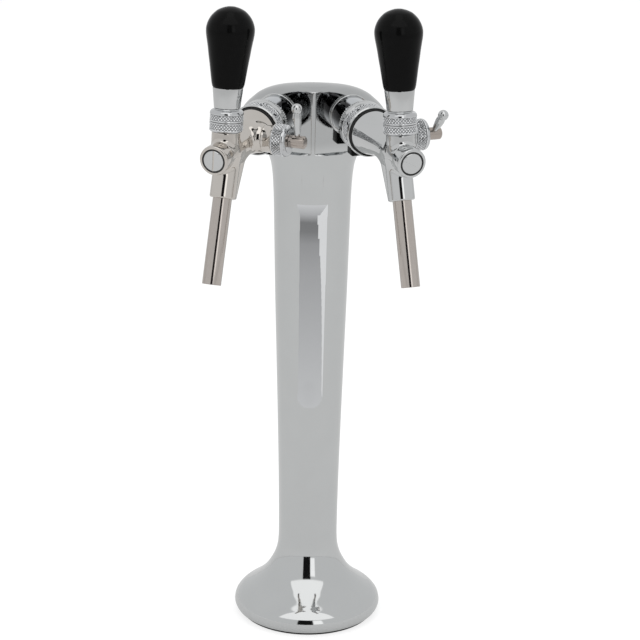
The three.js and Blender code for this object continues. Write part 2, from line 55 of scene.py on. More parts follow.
TAP_AZIMUTH = 22 * DEG
COMPENSATOR_X = 65.4  # compensator axis, out from the hood's face along the barrel
COMPENSATOR_Z = 1.2  # and over the barrel's axis
NECK_X = 104.7
NECK_RADIUS = 11.3
LEVER_LEAN = 10.2 * DEG
LEVER_PIVOT = 10.8
SEAT_RADIUS = 19
COLLAR_RADIUS = 13.4
LOWER_COLLAR = 17.0
UPPER_COLLAR = 35.0
HANDLE_START = 51.6
SPOUT_TILT = 22.2 * DEG
SPOUT_X = 98.1
SOCKET_RADIUS = 10.4
SOCKET_END = 38.4
TUBE_RADIUS = 7.6
TUBE_BORE = 6.5
SLEEVE_RADIUS = 16.5
NUT_RADIUS = 20.6
BOSS_END = 17.5  # end of the body's side boss, out from the barrel's axis
KNURL_PITCH = 2.7
KNURL_DEPTH = 0.7
NUT_TEETH = 72
NUT_SLOTS = 9

# Column stations: height, half width, reach to the front, reach to the back.
STATIONS = [
    (1.5, 58.6, 58.6, 58.6), (4, 61.8, 61.8, 61.8), (8, 63.7, 63.7, 63.7), (12, 63.4, 63.4, 63.4),
    (15.5, 62, 62, 62), (20, 58, 58, 58), (24.5, 51.7, 51.7, 51.7), (30.2, 44.6, 44.6, 44.6),
    (37.1, 37.8, 37.8, 37.8), (46, 32, 32, 32), (56, 27.7, 27.7, 27.7), (68, 25.7, 25.7, 25.7),
    (90, 25.6, 25.6, 25.6), (130, 26.2, 26.2, 26.2), (180, 27.4, 27.4, 27.4), (240, 29.1, 29.1, 29.1),
    (300, 30.8, 30.8, 30.8), (350, 31.9, 31.9, 31.9), (382, 32.7, 32.7, 32.7), (402, 34, 33.8, 33.3),
    (414, 36.5, 35.2, 34), (426, 42.5, 37.5, 34.5), (438, 52.5, 42.5, 34), (447, 59.2, 46.5, 31.5),
    (453, 59.2, 47.6, 28), (458.5, 55.8, 48, 22), (463.5, 51.2, 47.6, 16), (469.5, 45, 46.3, 8.5),
    (474.5, 37, 44, 1), (478.2, 26.8, 40.5, -6.5), (480.6, 13.5, 34, -14.5),
]
APEX = (0, -24, 481.6)
WALL = 3.5  # known fault: the recess is deeper, so the hollow's wall stands in front of its floor
HOLLOW_BOTTOM, HOLLOW_TOP = 64, 474  # the hollow follows the stations between these heights
FACE_LEDGE = 423.5  # the flat faces stop at a small ledge at this height
LEDGE_HEIGHT = 1.8
RIDGE_ROUNDING = 1.6  # how softly the two flat faces meet
EDGE_ROUNDING = 0.5  # and how softly a face or the recess meets the column
SWEEP_START, SWEEP_HEIGHT, SWEEP_ROUNDING = 425, 45, 12  # the hood's sides are swept back from this height up
RECESS_TOP = 381
RECESS_BOTTOM = 198
RECESS_HALF = 13.1  # half width at the top
RECESS_LOW_HALF = 10.8  # and at the bottom, where the end is a half circle
RECESS_FACET, RECESS_FACET_DEPTH = 16, 5.4  # the facet under its top edge: height, and depth at its foot
RECESS_DEPTHS = ((223, 365), (3.0, 5.0))  # heights, and the floor's depth behind the column's front
LEFT_SLOPE, END_SLOPE = 1.2, 0.12  # how steeply the left side and the lower end go in
RIGHT_SLOPES = ((209, 365), (1.3, 0.55))  # the right side does so more gently towards the top


# Distance between the column's sections: up to this height, this far apart.
SECTION_SPACING = ((72, 1.4), (190, 4), (388, 1.3), (421, 1.6), (427, 0.35))
CROWN_SPACING = 0.75

# The underside and the inside of the foot: radius, height.
FOOT_UNDERSIDE = [
    (58.2, 1.5), (54.4, 1.5), (54.4, 6), (44, 6), (44, 10), (55, 12), (54, 15), (47.5, 21), (40, 27.5),
    (33.5, 34.5), (28, 44), (22.6, 60),
]


# ---- Places, from the frame ----

def unit(vector):
    return Vector(vector).normalized()


def tap_matrix(name):
    """Tap frame in millimetres, from the hood's face: X out along the barrel, Y to the compensator, Z up."""
    across = unit(JOINTS[name + "_compensator_turn"]["axis"])
    out = -unit(JOINTS[name + "_valve_slide"]["axis"])
    up = out.cross(across)
    turn = Matrix((out, across, up)).transposed().to_4x4()
    spindle = Vector(JOINTS[name + "_compensator_turn"]["pos_m"])
    origin = spindle - out * COMPENSATOR_X * MM - up * COMPENSATOR_Z * MM
    return Matrix.Translation(origin) @ turn @ Matrix.Scale(MM, 4)


ALONG_X = Matrix.Rotation(math.pi / 2, 4, "Y")
ALONG_Y = Matrix.Rotation(-math.pi / 2, 4, "X")
IN_MM = Matrix.Scale(MM, 4)

# Places in the tap frame: the lever's neck, the spout and the compensator.
NECK = Matrix.Translation((NECK_X, 0, 0)) @ Matrix.Rotation(-LEVER_LEAN, 4, "Y")
SPOUT = Matrix.Translation((SPOUT_X, 0, 0)) @ Matrix.Rotation(math.pi - SPOUT_TILT, 4, "Y")
COMPENSATOR = Matrix.Translation((COMPENSATOR_X, 0, COMPENSATOR_Z))


# ---- Materials ----

HOOD_PAINTED_SHADE = 0.82  # painted shade: the hood's plating darkened against the column's, standing in for its darker reflections
HOOD_SHADE_BLEND = 12  # height over the ledge in which the painted shade deepens, in millimetres
CLOUD_SCALE = 38  # noise scales, in cells per metre: broad cloudiness, and fine unevenness of gloss
GLOSS_SCALE = 420
POLISH_WAVE = 0.00002  # height of the polishing wheel's waviness, in metres


def new_material(name, metallic=0):
    material = bpy.data.materials.new(name)
    material.use_nodes = True
    nodes = material.node_tree.nodes
    shader = nodes["Principled BSDF"]
    shader.inputs["Metallic"].default_value = metallic
    return material, nodes, material.node_tree.links, shader


def split_xyz(nodes, links, vector):
    node = nodes.new("ShaderNodeSeparateXYZ")
    links.new(vector, node.inputs[0])
    return node.outputs


def noise(nodes, links, scale, detail, stretch=(1, 1, 1)):
    """Object-space noise, stretched by scaling its coordinates."""
    place = nodes.new("ShaderNodeTexCoord")
    mapping = nodes.new("ShaderNodeMapping")
    mapping.inputs["Scale"].default_value = stretch
    texture = nodes.new("ShaderNodeTexNoise")
    texture.inputs["Scale"].default_value = scale
    texture.inputs["Detail"].default_value = detail
    links.new(place.outputs["Object"], mapping.inputs["Vector"])
    links.new(mapping.outputs["Vector"], texture.inputs["Vector"])
    return texture.outputs["Fac"]


def ramp(nodes, links, value, low, high):
    node = nodes.new("ShaderNodeMapRange")
    node.inputs["To Min"].default_value = low
    node.inputs["To Max"].default_value = high
    links.new(value, node.inputs["Value"])
    return node.outputs["Result"]


def tint(nodes, links, value, dark, light):
    node = nodes.new("ShaderNodeMix")
    node.data_type = "RGBA"
    node.inputs["A"].default_value = (*dark, 1)
    node.inputs["B"].default_value = (*light, 1)
    links.new(value, node.inputs["Factor"])
    return node.outputs["Result"]


def bump(nodes, links, height, strength, distance):
    node = nodes.new("ShaderNodeBump")
    node.inputs["Strength"].default_value = strength
    node.inputs["Distance"].default_value = distance
    links.new(height, node.inputs["Height"])
    return node.outputs["Normal"]


def math_node(nodes, links, operation, a, b=None):
    node = nodes.new("ShaderNodeMath")
    node.operation = operation
    for socket, value in zip(node.inputs, (a, b)):
        if value is None:
            continue
        if isinstance(value, (int, float)):
            socket.default_value = value
        else:
            links.new(value, socket)
    return node.outputs[0]


def step_node(nodes, links, value, low, high):
    node = nodes.new("ShaderNodeMapRange")
    node.interpolation_type = "SMOOTHSTEP"
    node.inputs["From Min"].default_value = low
    node.inputs["From Max"].default_value = high
    links.new(value, node.inputs["Value"])
    return node.outputs["Result"]


def uneven_gloss(nodes, links, shader, low, high):
    """Roughness that varies finely between these two values."""
    fine = noise(nodes, links, GLOSS_SCALE, 4)
    links.new(ramp(nodes, links, fine, low, high), shader.inputs["Roughness"])


def plated(name, dark, light, rough_low, rough_high):
    """Polished plating: faint cloudiness in tint and gloss, and a very slight waviness."""
    material, nodes, links, shader = new_material(name, metallic=1)
    cloud = noise(nodes, links, CLOUD_SCALE, 3)
    links.new(tint(nodes, links, cloud, dark, light), shader.inputs["Base Color"])
    uneven_gloss(nodes, links, shader, rough_low, rough_high)
    links.new(bump(nodes, links, cloud, 0.25, POLISH_WAVE), shader.inputs["Normal"])
    return material


def column_plating(name):
    """The column's plating, a little deeper in tone on the hood than below it, as painted shade."""
    material = plated(name, (0.585, 0.595, 0.595), (0.62, 0.63, 0.63), 0.04, 0.08)
    nodes, links = material.node_tree.nodes, material.node_tree.links
    colour = nodes["Principled BSDF"].inputs["Base Color"]
    height = split_xyz(nodes, links, nodes.new("ShaderNodeTexCoord").outputs["Object"])["Z"]
    upper = step_node(nodes, links, height, FACE_LEDGE * MM, (FACE_LEDGE + HOOD_SHADE_BLEND) * MM)
    scale = nodes.new("ShaderNodeVectorMath")
    scale.operation = "SCALE"
    links.new(colour.links[0].from_socket, scale.inputs[0])
    links.new(ramp(nodes, links, upper, 1.0, HOOD_PAINTED_SHADE), scale.inputs["Scale"])
    links.new(scale.outputs[0], colour)
    return material


def knurled(name, dark, light):
    """Knurled plating: the grooves between the diamonds are painted dark as shade, against light crests."""
    material, nodes, links, shader = new_material(name, metallic=1)
    edge = nodes.new("ShaderNodeNewGeometry").outputs["Pointiness"]
    crest = step_node(nodes, links, edge, 0.46, 0.53)
    links.new(tint(nodes, links, crest, dark, light), shader.inputs["Base Color"])
    uneven_gloss(nodes, links, shader, 0.05, 0.1)
    return material


def brushed(name, dark, light, stretch):
    """Brushed steel: long fine scratches that tint, roughen and groove the surface."""
    material, nodes, links, shader = new_material(name, metallic=1)
    lines = noise(nodes, links, 900, 3, stretch)
    links.new(tint(nodes, links, lines, dark, light), shader.inputs["Base Color"])
    links.new(ramp(nodes, links, lines, 0.07, 0.15), shader.inputs["Roughness"])
    links.new(bump(nodes, links, lines, 0.1, 0.00001), shader.inputs["Normal"])
    return material


def moulded(name, dark, light, rough_low, rough_high, grain, specular=0.5):
    """Moulded plastic, rubber or foam: a slight orange-peel or grain in colour, gloss and height."""
    material, nodes, links, shader = new_material(name)
    speck = noise(nodes, links, grain, 3)
    shader.inputs["Specular IOR Level"].default_value = specular
    links.new(tint(nodes, links, speck, dark, light), shader.inputs["Base Color"])
    links.new(ramp(nodes, links, speck, rough_low, rough_high), shader.inputs["Roughness"])
    links.new(bump(nodes, links, speck, 0.15, 0.00004), shader.inputs["Normal"])
    return material


# Brightness of the recess's satin plating, by distance below the top of the recess in millimetres: painted
# shade, darkest just under the facet at the top.
RECESS_SHADE_GRADES = [
    (183, 0.66), (110, 0.54), (62, 0.46), (36, 0.38), (25, 0.25), (17, 0.24), (10, 0.52), (0, 0.74),
]


def painted_shade_satin(name):
    """The recess's satin plating with painted shade: darkest where the facet at the top meets the floor."""
    material, nodes, links, shader = new_material(name, metallic=1)
    height = nodes.new("ShaderNodeMapRange")
    height.inputs["From Min"].default_value = RECESS_BOTTOM * MM
    height.inputs["From Max"].default_value = RECESS_TOP * MM
    place_node = nodes.new("ShaderNodeTexCoord")
    links.new(split_xyz(nodes, links, place_node.outputs["Object"])["Z"], height.inputs["Value"])
    grades = nodes.new("ShaderNodeValToRGB")
    stops = grades.color_ramp.elements
    while len(stops) < len(RECESS_SHADE_GRADES):
        stops.new(0.5)
    for stop, (below, level) in zip(stops, RECESS_SHADE_GRADES):
        stop.position = 1 - below / (RECESS_TOP - RECESS_BOTTOM)
        stop.color = (level * 0.985, level, level * 1.02, 1)
    links.new(height.outputs["Result"], grades.inputs["Fac"])
    links.new(grades.outputs["Color"], shader.inputs["Base Color"])
    uneven_gloss(nodes, links, shader, 0.14, 0.2)
    return material


def painted_reflection_chrome(name):
    """The sleeves' chrome with painted reflections: a black band on the sides, pale along its top and
    underside, with one thin bright stripe as a painted glint.
    """
    material, nodes, links, shader = new_material(name, metallic=1)
    up = split_xyz(nodes, links, nodes.new("ShaderNodeNewGeometry").outputs["Normal"])["Z"]
    under = step_node(nodes, links, up, -0.45, 0.15)
    below_stripe = step_node(nodes, links, up, 0.64, 0.62)
    above_stripe = math_node(nodes, links, "MULTIPLY", step_node(nodes, links, up, 0.72, 0.74),
                             step_node(nodes, links, up, 0.92, 0.86))
    band = math_node(nodes, links, "MULTIPLY", under,
                     math_node(nodes, links, "ADD", below_stripe, above_stripe))
    # black is the painted dark reflection; pale is the plain chrome tone of the rest
    pale, black = (0.60, 0.62, 0.64), (0.012, 0.012, 0.014)
    links.new(tint(nodes, links, band, pale, black), shader.inputs["Base Color"])
    uneven_gloss(nodes, links, shader, 0.03, 0.06)
    return material


# Darkest and lightest tint, then lowest and highest roughness.
PLATED = {
    "chrome": ((0.60, 0.61, 0.61), (0.66, 0.665, 0.665), 0.03, 0.06),
    # painted shade for the plug's slot
    "slot_shade": ((0.14, 0.14, 0.15), (0.2, 0.2, 0.21), 0.1, 0.2),
    "nickel": ((0.61, 0.575, 0.535), (0.67, 0.635, 0.595), 0.03, 0.07),
    "brass": ((0.55, 0.42, 0.20), (0.66, 0.52, 0.28), 0.2, 0.35),
    # painted light for the recess's right-hand chamfer
    "recess_painted_light": ((0.82, 0.83, 0.84), (0.86, 0.87, 0.88), 0.06, 0.1),
    "warm_steel": ((0.42, 0.37, 0.335), (0.50, 0.45, 0.41), 0.1, 0.2),
}
# The same, then the grain's scale and, for the plastic, its specular level.
MOULDED = {
    "black_plastic": ((0.002,) * 3, (0.004,) * 3, 0.1, 0.2, 240, 0.08),
    "rubber": ((0.008, 0.008, 0.008), (0.018, 0.018, 0.018), 0.55, 0.75, 900),
    "tubing": ((0.72, 0.75, 0.76), (0.82, 0.84, 0.84), 0.3, 0.45, 300),
    "foam": ((0.03, 0.03, 0.035), (0.07, 0.07, 0.075), 0.85, 0.95, 1400),
}
MATERIALS = {
    "column_chrome": column_plating("column_chrome"),
    "knurled_chrome": knurled("knurled_chrome", (0.16, 0.165, 0.17), (0.80, 0.81, 0.82)),
    "steel": brushed("steel", (0.50, 0.455, 0.42), (0.58, 0.535, 0.50), (1, 1, 0.04)),
    "recess_satin_shaded": painted_shade_satin("recess_satin_shaded"),
    "sleeve_painted_reflection": painted_reflection_chrome("sleeve_painted_reflection"),
    **{name: plated(name, *look) for name, look in PLATED.items()},
    **{name: moulded(name, *look) for name, look in MOULDED.items()},
}


# ---- Mesh tools ----

def add_object(name, data):
    made = bpy.data.objects.new(name, data)
    bpy.context.scene.collection.objects.link(made)
    return made


def evaluated_mesh(piece):
    """The piece's mesh with its modifiers applied."""
    graph = bpy.context.evaluated_depsgraph_get()
    return bpy.data.meshes.new_from_object(piece.evaluated_get(graph))


def finish_mesh(name, points, faces, matrix, material, sharp=32):
    """A mesh object from points in millimetres of the matrix's frame, smooth except over sharp edges."""
    data = bpy.data.meshes.new(name)
    data.from_pydata(np.asarray(points, float).reshape(-1, 3).tolist(), [], faces)
    data.transform(matrix)
    data.update()
    data.shade_smooth()
    data.set_sharp_from_angle(angle=sharp * DEG)
    data.materials.append(MATERIALS[material])
    return add_object(name, data)


def place(piece, body, slot_name, *nodes):
    """The piece rides this body and stands for these CAD nodes; slot_name is not used."""
    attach(piece, body)
    if nodes:
        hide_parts(*nodes)


def filleted(profile, radius, steps=3, closed=False):
    """The profile with its corners rounded to this radius, as far as the neighbouring lines allow."""
    points = [np.array(p, float) for p in profile]
    count = len(points)
    out = []
    for i, corner in enumerate(points):
        if not closed and i in (0, count - 1):
            out.append(corner)
            continue
        a, b = points[i - 1] - corner, points[(i + 1) % count] - corner
        la, lb = np.linalg.norm(a), np.linalg.norm(b)
        a, b = a / la, b / lb
        angle = math.acos(max(-1, min(1, float(a @ b))))
        if angle > math.pi - 0.12:
            out.append(corner)
            continue
        reach = min(radius / math.tan(angle / 2), 0.45 * la, 0.45 * lb)
        start, end = corner + a * reach, corner + b * reach
        for k in range(steps + 1):
            t = k / steps
            out.append((1 - t) ** 2 * start + 2 * t * (1 - t) * corner + t * t * end)
    return out


def grid_faces(rows, cols, closed_rows):
    """Quads of a grid of rows rings, each a closed loop of cols points."""
    faces = []
    last = rows if closed_rows else rows - 1
    for i in range(last):
        a, b = i * cols, ((i + 1) % rows) * cols
        for j in range(cols):
            k = (j + 1) % cols
            faces.append((a + j, a + k, b + k, b + j))
    return faces


def turned(name, profile, matrix, material, segments=96, radius=0.4, relief=None, sharp=32):
    """A profile of (radius, height) turned about +Z. It closes on itself, or starts and ends on the axis."""
    closed = profile[0] == profile[-1]
    outline = filleted(profile[:-1] if closed else profile, radius, closed=closed)
    if not closed:
        outline = outline[1:-1]
    rows = np.array(outline)
    angles = np.arange(segments) * 2 * math.pi / segments
    r = np.repeat(rows[:, :1], segments, 1)
    h = np.repeat(rows[:, 1:], segments, 1)
    if relief:
        r = r + relief(angles[None, :], r, h)
    points = np.stack([r * np.cos(angles), r * np.sin(angles), h], -1).reshape(-1, 3)
    faces = grid_faces(len(rows), segments, closed)
    if not closed:
        low, high = len(points), len(points) + 1
        points = np.vstack([points, [0, 0, profile[0][1]], [0, 0, profile[-1][1]]])
        top = (len(rows) - 1) * segments
        for j in range(segments):
            k = (j + 1) % segments
            faces.append((low, k, j))
            faces.append((high, top + j, top + k))
    return finish_mesh(name, points, faces, matrix, material, sharp)


def filled(points, step):
    """The same outline with extra points so that no stretch is longer than step."""
    out = [points[0]]
    for a, b in zip(points, points[1:]):
        count = max(1, math.ceil(math.dist(a, b) / step))
        for k in range(1, count + 1):
            t = k / count
            out.append((a[0] + (b[0] - a[0]) * t, a[1] + (b[1] - a[1]) * t))
    return out


def arc(centre, radius, start, end, count):
    """Points of an arc in the (radius, height) plane, angles in degrees from the radius direction."""
    steps = [start + (end - start) * k / count for k in range(count + 1)]
    return [(centre[0] + radius * math.cos(a * DEG), centre[1] + radius * math.sin(a * DEG)) for a in steps]


def spline(points, count):
    """Catmull-Rom curve through points, count steps per stretch, as an array."""
    p = np.array(points, float)
    p = np.vstack([2 * p[0] - p[1], p, 2 * p[-1] - p[-2]])
    out = []
    for i in range(len(points) - 1):
        p0, p1, p2, p3 = p[i:i + 4]
        for t in np.arange(count) / count:
            m1, m2 = 0.5 * (p2 - p0), 0.5 * (p3 - p1)
            out.append((2 * t**3 - 3 * t**2 + 1) * p1 + (t**3 - 2 * t**2 + t) * m1
                       + (3 * t**2 - 2 * t**3) * p2 + (t**3 - t**2) * m2)
    out.append(p[-2])
    return np.array(out)


def diamond(low, high, radius):
    """Diamond knurling cut into a cylinder between two heights."""
    around = round(2 * math.pi * radius / KNURL_PITCH)

    def relief(angles, r, h):
        turn = angles * around / (2 * math.pi)
        rise = h / KNURL_PITCH
        u, v = np.mod(turn + rise, 1), np.mod(turn - rise, 1)
        ridge = np.minimum(1 - np.abs(2 * u - 1), 1 - np.abs(2 * v - 1))
        share = np.clip(np.minimum(h - low, high - h) / 0.5, 0, 1) * (r > radius - 0.9)
        return -KNURL_DEPTH * (1 - ridge) * share

    return relief


def knurled_collar(name, outline, step, matrix, low, high, radius):
    """A turned piece with diamond knurling between two heights, its outline divided finely enough for it."""
    relief = diamond(low, high, radius)
    return turned(name, filled(outline, step), matrix, "knurled_chrome", 440, 0.04, relief, sharp=28)


# ---- Column ----

def smooth_max(a, b, k):
    h = np.maximum(k - np.abs(a - b), 0) / k
    return np.maximum(a, b) + h * h * k / 4


def smooth_min(a, b, k):
    return -smooth_max(-a, -b, k)


def column_rows():
    """Column sections from the rim to the crown, closer together where the shape is finer."""
    curve = spline(STATIONS, 160)
    step = np.linalg.norm(np.diff(curve[:, [0, 2]], axis=0), axis=1)
    z = curve[:-1, 0]
    below = [z < top for top, _ in SECTION_SPACING]
    spacing = np.select(below, [gap for _, gap in SECTION_SPACING], CROWN_SPACING)
    level = np.concatenate([[0], np.cumsum(step / spacing)])
    wanted = np.linspace(0, level[-1], int(level[-1]))
    return np.stack([np.interp(wanted, level, curve[:, i]) for i in range(4)], 1)


def column_angles(front, back):
    """Angles round the column from the right, with more of them across the front."""
    fine = np.linspace(-175, -5, front, endpoint=False)
    coarse = np.linspace(-5, 185, back, endpoint=False)
    return np.concatenate([fine, coarse]) * DEG


def sweep_back(x, z):
    """How far the hood's sides stand back, to follow the two flat faces."""
    share = np.clip((z - SWEEP_START) / SWEEP_HEIGHT, 0, 1)
    share = share * share * (3 - 2 * share)
    return share * math.tan(TAP_AZIMUTH) * (np.hypot(x, SWEEP_ROUNDING) - SWEEP_ROUNDING)


def face_depth(x, z, inset):
    """The two flat faces as y over (x, z): they meet in a slightly rounded upright ridge."""
    planes = []
    for name in SIDES:
        matrix = tap_matrix(name)
        normal = (matrix.to_3x3() @ Vector((1, 0, 0))).normalized()
        origin = matrix.translation / MM - normal * inset
        planes.append(origin.y - (normal.x * (x - origin.x) + normal.z * (z - origin.z)) / normal.y)
    return smooth_max(planes[0], planes[1], RIDGE_ROUNDING)


def recess_parts(x, z, surface, reach):
    """The front recess's flat floor, chamfered sides, top facet and rounded end, each as y over (x, z)."""
    end = RECESS_BOTTOM + RECESS_LOW_HALF
    half = np.interp(z, (end, RECESS_TOP), (RECESS_LOW_HALF, RECESS_HALF))
    floor = -reach + np.interp(z, *RECESS_DEPTHS)
    slope = np.where(x > 0, np.interp(z, *RIGHT_SLOPES), LEFT_SLOPE)
    side = surface + slope * (half - np.abs(x))
    top = surface + RECESS_FACET_DEPTH * (RECESS_TOP - z) / RECESS_FACET
    outline = end - np.sqrt(np.maximum(RECESS_LOW_HALF ** 2 - x * x, 0))
    return floor, side, top, surface + END_SLOPE * (z - outline)


def column_surface(rows, angles, inset):
    """Column points for each section and angle, inset inwards."""
    z = np.repeat(rows[:, :1], len(angles), 1)
    width, front, back = (rows[:, i:i + 1] for i in (1, 2, 3))
    centre = (back - front) / 2
    depth = np.maximum((back + front) / 2 - inset, 0.5)
    x = np.maximum(width - inset, 0.5) * np.cos(angles)
    y = centre + depth * np.sin(angles) + sweep_back(x, z)
    if inset == 0:
        near = (y < 0) & (np.abs(x) < RECESS_HALF + 2) & (z > RECESS_BOTTOM - 4) & (z < RECESS_TOP + 4)
        cut = np.minimum.reduce(recess_parts(x, z, y, front))
        y = np.where(near, smooth_max(y, cut, EDGE_ROUNDING), y)
    flat = smooth_max(y, face_depth(x, z, inset), EDGE_ROUNDING)
    share = np.clip((z - FACE_LEDGE) / LEDGE_HEIGHT, 0, 1)
    y = y + (flat - y) * share * share * (3 - 2 * share)
    return np.stack([x, y, z], -1)


def column_crown(ring, apex, count):
    """Rings that close the crown over the last section."""
    out = []
    for k in range(1, count):
        s = 1 - k / count
        flat = apex[None, :] + (ring - apex[None, :]) * s
        flat[:, 2] = apex[2] - (apex[2] - ring[:, 2]) * s * s
        out.append(flat)
    return out


def finish_recess(piece):
    """The recess is painted apart: a satin floor and facet with painted shade, and painted light on the
    brighter right-hand chamfer.
    """
    piece.data.materials.append(MATERIALS["recess_satin_shaded"])
    piece.data.materials.append(MATERIALS["recess_painted_light"])
    polygons = piece.data.polygons
    centres = np.zeros(len(polygons) * 3)
    polygons.foreach_get("center", centres)
    x, y, z = centres.reshape(-1, 3).T / MM
    level, width, front, back = np.array(STATIONS).T
    width, front, back = (np.interp(z, level, values) for values in (width, front, back))
    across = np.clip(x / width, -1, 1)
    surface = (back - front) / 2 - (back + front) / 2 * np.sqrt(1 - across * across)
    floor, side, top, end = recess_parts(x, z, surface, front)
    in_front = y < -20
    inside = in_front & (np.minimum.reduce((side, top, end)) - surface > 0.05)
    chamfer = side < np.minimum.reduce((floor, top, end))
    plain, satin, bright = range(3)
    finish = np.where(inside, np.where(chamfer, np.where(x > 0, bright, plain), satin), plain)
    polygons.foreach_set("material_index", finish.astype(np.int32))


def build_column():
    angles = column_angles(front=330, back=110)
    outer = column_surface(column_rows(), angles, 0)
    apex = np.array(APEX)
    hollow_rows = [row for row in spline(STATIONS, 3) if HOLLOW_BOTTOM < row[0] < HOLLOW_TOP]
    inner = column_surface(np.array(hollow_rows), angles, WALL)
    circle = np.stack([np.cos(angles), np.sin(angles), 0 * angles], 1)
    foot = [circle * (r, r, 0) + (0, 0, h) for r, h in FOOT_UNDERSIDE]
    # From the top of the hollow down to the foot, out under it, and up the outside to the crown.
    stack = list(inner)[::-1] + foot[::-1] + list(outer) + column_crown(outer[-1], apex, 8)
    points = np.concatenate(stack)
    cols = len(angles)
    faces = grid_faces(len(stack), cols, False)
    inner_top, outer_top = len(points), len(points) + 1
    points = np.vstack([points, inner[-1].mean(0) + (0, 0, 2), apex])
    last = (len(stack) - 1) * cols
    for j in range(cols):
        k = (j + 1) % cols
        faces.append((inner_top, k, j))
        faces.append((outer_top, last + j, last + k))
    piece = finish_mesh("column_shell", points, faces, IN_MM, "column_chrome", 40)
    finish_recess(piece)
    place(piece, "tower", "chrome", "column_body")


def build_gasket():
    profile = [(54.8, 0.05), (58, 0.05), (58.2, 1.3), (54.8, 1.3), (54.8, 0.05)]
    piece = turned("base_gasket_ring", profile, IN_MM, "rubber", 160)
    place(piece, "tower", "rubber", "base_gasket")


# ---- Tap body ----

BARREL = [
    (40, 18.3), (48, 18.5), (50, 18.2), (53, 17.4), (57, 16.3), (61, 15.4), (65.4, 14.5), (71, 13.4),
    (78, 12.3), (86, 11.5), (94, 11), (104, 10.9), (112, 11), (117, 11.5), (122, 11.9), (130, 12),
]
BARREL_ENDS = (48, 127.2)
BOSS = [(-5, 12.2), (12, 12.2), (14.4, 12.1), (16, 11.6), (17.6, 11), (19, 10.8)]
WEB_REAR = ((77, -9), (99.6, -40))
WEB_HALF = 7.6
BODY_VOXEL, BODY_VOXEL_QUICK = 0.7, 1.0
SETTLE_STEPS = 10  # how often the merged points are moved towards the smooth surface
LONGEST_MOVE = 0.8


def barrel_distance(p):
    curve = spline(BARREL, 8)
    r = np.hypot(p[:, 1], p[:, 2])
    radius = np.interp(p[:, 0], curve[:, 0], curve[:, 1])
    slope = np.interp(p[:, 0], curve[:, 0], np.gradient(curve[:, 1], curve[:, 0]))
    side = (r - radius) / np.sqrt(1 + slope * slope)
    ends = np.maximum(BARREL_ENDS[0] - p[:, 0], p[:, 0] - BARREL_ENDS[1])
    return smooth_max(side, ends, 1.6)


def local(p, matrix):
    """Points of the tap frame in the frame of this matrix."""
    inverse = np.array(matrix.inverted())
    return p @ inverse[:3, :3].T + inverse[:3, 3]


def rod_distance(q, radius, low, high, k):
    side = np.hypot(q[:, 0], q[:, 1]) - radius
    ends = np.maximum(low - q[:, 2], q[:, 2] - high)
    return smooth_max(side, ends, k)


def boss_distance(p):
    curve = spline(BOSS, 6)
    radius = np.interp(p[:, 1], curve[:, 0], curve[:, 1])
    side = (np.hypot(p[:, 0] - COMPENSATOR_X, p[:, 2] - COMPENSATOR_Z) - radius) * 0.95
    ends = np.maximum(-p[:, 1], p[:, 1] - BOSS_END)
    return smooth_max(side, ends, 0.8)


def web_distance(p):
    """The web behind the spout socket, bounded by its slanted rear edge and the socket's lower face."""
    (x0, z0), (x1, z1) = WEB_REAR
    length = math.hypot(x1 - x0, z1 - z0)
    nx, nz = (z1 - z0) / length, -(x1 - x0) / length
    rear = (p[:, 0] - x0) * nx + (p[:, 2] - z0) * nz
    q = local(p, SPOUT)
    body = smooth_max(smooth_max(rear, np.abs(p[:, 1]) - WEB_HALF, 5), q[:, 2] - SOCKET_END, 1.4)
    return smooth_max(smooth_max(body, -q[:, 0], 1), p[:, 2] + 2, 1)


def body_distance(p):
    neck = rod_distance(local(p, NECK), NECK_RADIUS, -1, LOWER_COLLAR - 0.2, 0.8)
    socket = rod_distance(local(p, SPOUT), SOCKET_RADIUS, -2, SOCKET_END, 1.6)
    lower = smooth_min(socket, web_distance(p), 1.6)
    body = smooth_min(barrel_distance(p), lower, 5)
    body = smooth_min(body, boss_distance(p), 2.6)
    return smooth_min(body, neck, 3)


def body_gradient(p):
    step = 0.02
    return np.stack([(body_distance(p + d) - body_distance(p - d)) / (2 * step) for d in np.eye(3) * step], 1)


def rough_solid(parts):
    """Points and faces of overlapping closed turned solids, each (profile, matrix), to be merged later."""
    points, faces = [], []
    segments = 40
    angles = np.arange(segments) * 2 * math.pi / segments
    for profile, matrix in parts:
        start = len(points)
        m = np.array(matrix)
        for r, h in profile:
            ring = np.stack([r * np.cos(angles), r * np.sin(angles), 0 * angles + h], 1)
            points.extend((ring @ m[:3, :3].T + m[:3, 3]).tolist())
        faces += [tuple(start + i for i in f) for f in grid_faces(len(profile), segments, False)]
        faces.append(tuple(start + j for j in range(segments))[::-1])
        last = start + (len(profile) - 1) * segments
        faces.append(tuple(last + j for j in range(segments)))
    return points, faces


def web_block():
    """A slanted block where the web is, as points and faces."""
    (x0, z0), (x1, z1) = WEB_REAR
    outline = [(x0, z0), (x1, z1), (108, -38), (100, -2), (x0, -2)]
    points = [(x, s * WEB_HALF, z) for s in (-1, 1) for x, z in outline]
    n = len(outline)
    faces = [tuple(range(n)), tuple(range(2 * n - 1, n - 1, -1))]
    faces += [(i, i + n, (i + 1) % n + n, (i + 1) % n) for i in range(n)]
    return points, faces


